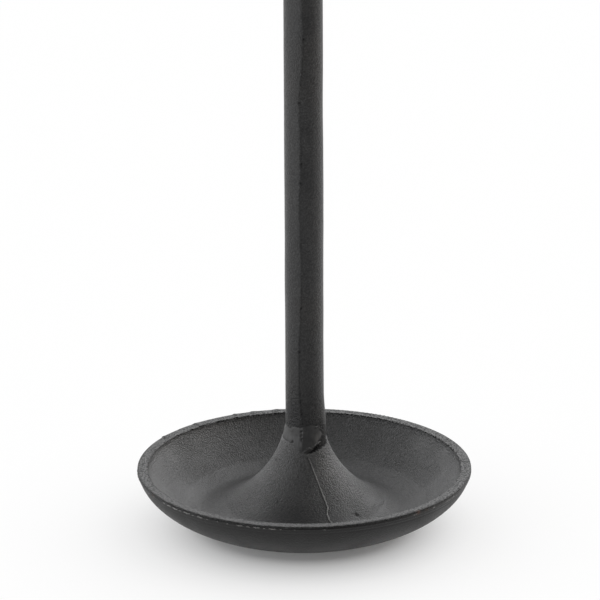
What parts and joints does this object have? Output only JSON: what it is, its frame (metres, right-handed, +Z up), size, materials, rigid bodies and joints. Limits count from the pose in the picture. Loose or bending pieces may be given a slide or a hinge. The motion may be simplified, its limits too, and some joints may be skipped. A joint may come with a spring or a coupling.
{
  "type": "torchere candle stand",
  "caption": "Floor-standing candle stand: a round cast dish base rises in a trumpet to a slim upright tube stem that carries a shallow candle pan with a pricket.",
  "frame": {"origin": "on the floor under the stem's axis, level with the undersides of the foot pads", "axes": "+Z up along the stem; -Y towards the viewer of the picture; +X to the viewer's right"},
  "size_m": [0.2276, 0.2276, 0.8499],
  "materials": {
    "cast_black": "matte black coating over an as-cast surface",
    "stem_black": "matte black coating over a rough tube",
    "pricket_black": "satin black coating over turned steel",
    "pad_rubber": "matte"
  },
  "bodies": {
    "root": {"base_dish": "cast_black", "foot_pad_1": "pad_rubber", "foot_pad_2": "pad_rubber", "foot_pad_3": "pad_rubber", "foot_pad_4": "pad_rubber", "stem_tube": "stem_black", "base_weld": "cast_black", "candle_pan": "cast_black", "pan_weld": "cast_black", "pricket": "pricket_black"}
  },
  "joints": []
}
